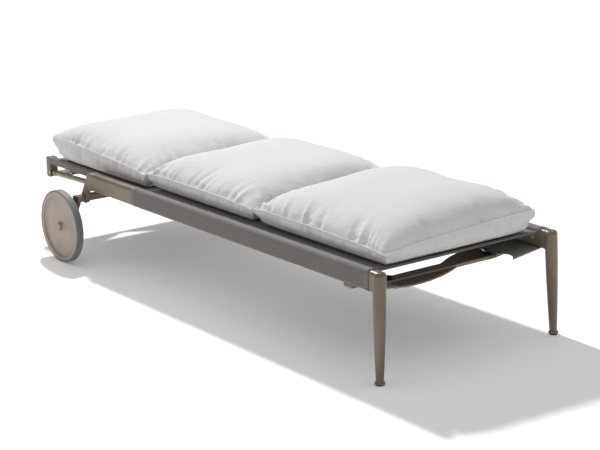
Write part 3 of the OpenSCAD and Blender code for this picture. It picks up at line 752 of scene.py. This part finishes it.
def sheet_piece(name, slot, body, point, us, vs, hem=None, thread_lines=()):
    """A thin sheet over point(u, v), with an optional doubled hem mask and rows of stitches."""
    verts = [point(u, v) for u in us for v in vs]
    rows = len(vs)
    faces = []
    for i in range(len(us) - 1):
        for j in range(rows - 1):
            k = i * rows + j
            faces.append((k, k + rows, k + rows + 1, k + 1))
    mesh = mesh_from(name, verts, faces)
    piece = new_piece(name, mesh, slot, body)
    thick = piece.modifiers.new("cloth", "SOLIDIFY")
    thick.thickness = CLOTH
    thick.offset = 0
    if hem is not None:
        weights = piece.vertex_groups.new(name="hem")
        for i, u in enumerate(us):
            for j, v in enumerate(vs):
                weights.add([i * rows + j], 1.0 if hem(u, v) else 0.5, "REPLACE")
        thick.thickness = CLOTH * 2
        thick.vertex_group = "hem"
    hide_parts(name.replace("_cloth", ""))
    if thread_lines:
        surface = surface_of(piece)
        rows_of_thread = [stitch_row(line, surface, gap=0.0026, radius=0.0005) for line in thread_lines]
        parts = [part for row in rows_of_thread for part in row]
        new_piece(name + "_stitches", join_parts(name + "_stitches", parts), slot, body, "sling_thread")
    return piece


def wrap_path(y0, y1, z0, z1, r, start_z, end_y, side):
    """Cloth path round a rail, in Y and Z: up the inner face, over, down the outer face and under."""
    corners = [((y0 + r, z1 - r), 180, 90), ((y1 - r, z1 - r), 90, 0), ((y1 - r, z0 + r), 0, -90)]
    points = [(y0, start_z)]
    for centre, first, last in corners:
        for turn in np.linspace(first, last, 7):
            turn = math.radians(turn)
            points.append((centre[0] + r * math.cos(turn), centre[1] + r * math.sin(turn)))
    points.append((end_y, z0))
    return np.array([(side * y, z) for y, z in points])


def cross_lines(half, top, *places):
    """Straight paths across the sling, just above it, one at each place along X."""
    return [[(x, y, top + 0.004) for y in np.linspace(-half, half, 60)] for x in places]


def stretch_seat():
    low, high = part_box("seat_sling")
    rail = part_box("side_rail_left")
    half = high[1] - 0.0002
    us = np.linspace(low[0], high[0], 90)
    vs = np.linspace(-half, half, 41)
    top = high[2] - CLOTH / 2
    sag, waviness = 0.006, 0.0006
    rail_corner, lap = 0.009, 0.012

    def sling(x, y):
        """Hollows a little between its edges, and eases up to the hems at both ends."""
        share = (x - low[0]) / (high[0] - low[0])
        hollow = sag * (1 - (y / half) ** 2) * math.sin(math.pi * min(1, max(0, share))) ** 0.5
        wave = waviness * math.sin(x * 31 + y * 9) * (1 - (y / half) ** 2)
        return x, y, top - hollow + wave

    sheet_piece(
        "seat_sling_cloth", "sling_cloth", "base", sling, us, vs,
        hem=lambda x, y: x > high[0] - SLING_HEM or x < low[0] + SLING_HEM,
        thread_lines=cross_lines(half, top, high[0] - SLING_HEM, low[0] + SLING_HEM),
    )
    for name, side in SIDES.items():
        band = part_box(f"seat_band_{name}")
        x0, x1 = band[0][0], band[1][0]
        off = CLOTH / 2
        path = wrap_path(
            rail[0][1] - off, rail[1][1] + off, rail[0][2] - off, rail[1][2] + off, rail_corner + off,
            high[2] - 2 * CLOTH, rail[0][1] + lap, side,
        )
        steps = np.arange(len(path))

        def wrap(x, k, path=path, side=side):
            """Lies close on the rail, with faint pulls where it is drawn over the edges."""
            y, z = path[int(k)]
            pull = 0.0001 * math.sin(x * 17 + int(k) * 0.9) + 0.00005 * math.sin(x * 53)
            return x, y + side * pull * (7 < k < 20), z + pull * (k <= 7)

        seam_z = rail[1][2] + off
        ends = [[(x, y, z) for y, z in path[6:21]] for x in (x0 + BAND_HEM, x1 - BAND_HEM)]
        along = [[(x, side * (rail[1][1] - 0.0065), seam_z + 0.002) for x in np.arange(x0, x1, 0.01)]]
        sheet_piece(
            f"seat_band_{name}_cloth", "band_cloth", "base", wrap, np.linspace(x0, x1, 120), steps,
            hem=lambda x, k, a=x0, b=x1: x < a + BAND_HEM or x > b - BAND_HEM, thread_lines=ends + along,
        )
        make_flap(name, side)


def make_flap(name, side):
    """Flap under the rail, drawn inwards by the laces: its inner edge is scalloped between them.

    Both flaps are worked out on the left, and side mirrors them.
    """
    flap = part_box("seat_flap_left")
    x0, x1 = flap[0][0], flap[1][0]
    root, tip = flap[1][1], flap[0][1]
    rail_y = sum(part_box("side_rail_left")[i][1] for i in (0, 1)) / 2
    z_root, z_tip = flap[1][2] - CLOTH / 2, flap[0][2] + CLOTH / 2
    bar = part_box("foot_crossbar")
    bar_x = (bar[0][0] + bar[1][0]) / 2
    # Where the edge is held, from the head end to the foot end, and how far it springs back in between
    ties = [x0, x0 + 0.012, bar_x - 0.024, bar_x + 0.030, x1 - 0.004, x1]
    depth = [0.0, 0.034, 0.0, 0.022, 0.0]

    def inner(x):
        for start, end, deep in zip(ties, ties[1:], depth):
            if start <= x <= end:
                return tip + deep * math.sin(math.pi * (x - start) / (end - start)) ** 0.8
        return tip

    def flap_point(x, v):
        y = root + (inner(x) - root) * v
        share = np.clip((rail_y - y) / (rail_y - tip), 0, 1)
        ruck = 0.0008 * math.sin(x * 61) * share * (1 - share)
        return x, side * y, z_root + (z_tip - z_root) * share + abs(ruck)

    us = np.unique(np.concatenate([np.linspace(x0, bar_x - 0.1, 60), np.linspace(bar_x - 0.1, x1, 60)]))
    vs = np.linspace(0, 1, 22)
    edge = [[flap_point(x, 0.94) for x in np.arange(x0 + 0.004, x1 - 0.006, 0.006)]]
    edge += [[flap_point(x1 - 0.008, v) for v in np.linspace(0.05, 0.95, 20)]]
    sheet_piece(
        f"seat_flap_{name}_cloth", "flap_cloth", "base", flap_point, us, vs,
        hem=lambda x, v: v > 0.93 or x > x1 - BAND_HEM,
        thread_lines=edge,
    )


def stretch_back():
    low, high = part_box("back_sling")
    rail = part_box("back_rail_left")
    half = high[1] - 0.0002
    top = high[2] - CLOTH / 2
    sag, waviness = 0.004, 0.0004
    rail_corner, scallop = 0.006, 0.018

    def sling(x, y):
        return x, y, top - sag * (1 - (y / half) ** 2) + waviness * math.sin(x * 37 + y * 11)

    us, vs = np.linspace(low[0], high[0], 60), np.linspace(-half, half, 37)
    sheet_piece(
        "back_sling_cloth", "sling_cloth", "backrest", sling, us, vs,
        hem=lambda x, y: x > high[0] - BACK_HEM or x < low[0] + BACK_HEM,
        thread_lines=cross_lines(half, top, high[0] - BACK_HEM, low[0] + BACK_HEM),
    )
    for name, side in SIDES.items():
        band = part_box(f"back_band_{name}")
        off = CLOTH / 2
        x0, x1 = band[0][0], band[1][0]
        path = wrap_path(
            rail[0][1] - off, rail[1][1] + off, rail[0][2] - off, rail[1][2] + off, rail_corner + off,
            high[2] - 2 * CLOTH, band[0][1] if side > 0 else -band[1][1], side,
        )

        def wrap(x, k, path=path, x0=x0, x1=x1, side=side):
            """The last step is the flap's inner edge, which springs back in its middle."""
            y, z = path[int(k)]
            if k == len(path) - 1:
                y += side * scallop * math.sin(math.pi * (x - x0) / (x1 - x0)) ** 0.6
            return x, y, z

        along = [[(x, side * (rail[1][1] - 0.004), rail[1][2] + 0.003) for x in np.arange(x0, x1, 0.01)]]
        sheet_piece(
            f"back_band_{name}_cloth", "band_cloth", "backrest", wrap, np.linspace(x0, x1, 70),
            np.arange(len(path)),
            hem=lambda x, k, a=x0, b=x1: x < a + BAND_HEM or x > b - BAND_HEM, thread_lines=along,
        )


def smooth_path(points, per_span=6):
    """Catmull-Rom curve through the points."""
    points = np.asarray(points, float)
    padded = np.vstack([2 * points[0] - points[1], points, 2 * points[-1] - points[-2]])
    out = []
    for i in range(1, len(padded) - 2):
        a, b, c, d = padded[i - 1 : i + 3]
        for t in np.linspace(0, 1, per_span, endpoint=False):
            square, cube = 2 * a - 5 * b + 4 * c - d, 3 * b - a - 3 * c + d
            out.append(0.5 * (2 * b + (c - a) * t + square * t**2 + cube * t**3))
    out.append(points[-1])
    return np.array(out)


def tie_foot_laces():
    """Black cord from the flaps' inner corners: four turns round the crossbar, then a knot."""
    low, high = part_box("foot_laces")
    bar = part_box("foot_crossbar")
    bar_x = (bar[0][0] + bar[1][0]) / 2
    # Half the crossbar's width and thickness, and the cord's radius
    half_x, half_z, r = 0.0205, 0.0065, 0.0015
    top = low[2] - 0.0003 + r
    turns, per_turn = 4, 8
    parts = []
    for side in SIDES.values():
        route = [(bar_x + 0.032, side * 0.243, top + 0.0035), (bar_x + 0.027, side * 0.232, top + 0.002)]
        for k in range(turns * per_turn + 1):
            angle = 2 * math.pi * k / per_turn
            y = side * (high[1] - 0.006 - 0.024 * k / (turns * per_turn))
            wide, tall = half_x + r + 0.0006, half_z + r + 0.0008
            corner = (abs(math.cos(angle)) ** 0.6, abs(math.sin(angle)) ** 0.6)
            x = bar_x + wide * corner[0] * (1 if math.cos(angle) >= 0 else -1)
            z = top - r - half_z + tall * corner[1] * (1 if math.sin(angle) >= 0 else -1)
            route.append((x, y, z))
        route += [(bar_x + 0.008, side * 0.188, top + 0.002), (bar_x - 0.006, side * 0.196, top + 0.004)]
        route += [(bar_x - 0.012, side * 0.206, top + 0.0035), (bar_x - 0.022, side * 0.224, top + 0.002)]
        route += [(bar_x - 0.026, side * 0.240, top + 0.0035)]
        parts.append(tube(smooth_path(route, 4), r, 8))
        for x, y in ((bar_x + 0.002, 0.193), (bar_x - 0.005, 0.1955)):
            knot = []
            for t in np.linspace(0, 2 * math.pi, 14, endpoint=False):
                knot_y = side * (y + 0.0022 * math.sin(2 * t))
                knot.append((x + 0.0032 * math.cos(t), knot_y, top + 0.003 + 0.0026 * math.sin(t)))
            parts.append(tube(knot, r, 8, closed=True))
    laces = new_piece("foot_lace_cords", join_parts("foot_lace_cords", parts), "lace_cord", "base")
    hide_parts("foot_laces")


def tie_back_laces():
    """Short ties from the backrest's flaps down round the head blade."""
    low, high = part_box("back_laces")
    r = 0.0018
    parts = []
    for side in SIDES.values():
        for k in (0, 1):
            x = low[0] + r + 0.016 * k
            y = high[1] - 0.006
            route = [(x, side * (y + 0.004), high[2] - r), (x + 0.001, side * y, high[2] - 0.012)]
            route += [
                (x + 0.003 * math.cos(t), side * (y - 0.004 - 0.001 * t), high[2] - 0.018 - 0.0016 * t)
                for t in np.linspace(0, 4 * math.pi, 16)
            ]
            route += [(x + 0.002, side * (high[1] - 0.016), low[2] + r + 0.0006)]
            parts.append(tube(smooth_path(route, 3), r, 8))
    laces = new_piece("back_lace_cords", join_parts("back_lace_cords", parts), "lace_cord", "backrest")
    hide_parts("back_laces")


# ---------------------------------------------------------------- the whole scene
light_studio()
add_floor()
finish_cad_nodes()
stretch_seat()
stretch_back()
tie_foot_laces()
tie_back_laces()
make_cushions()
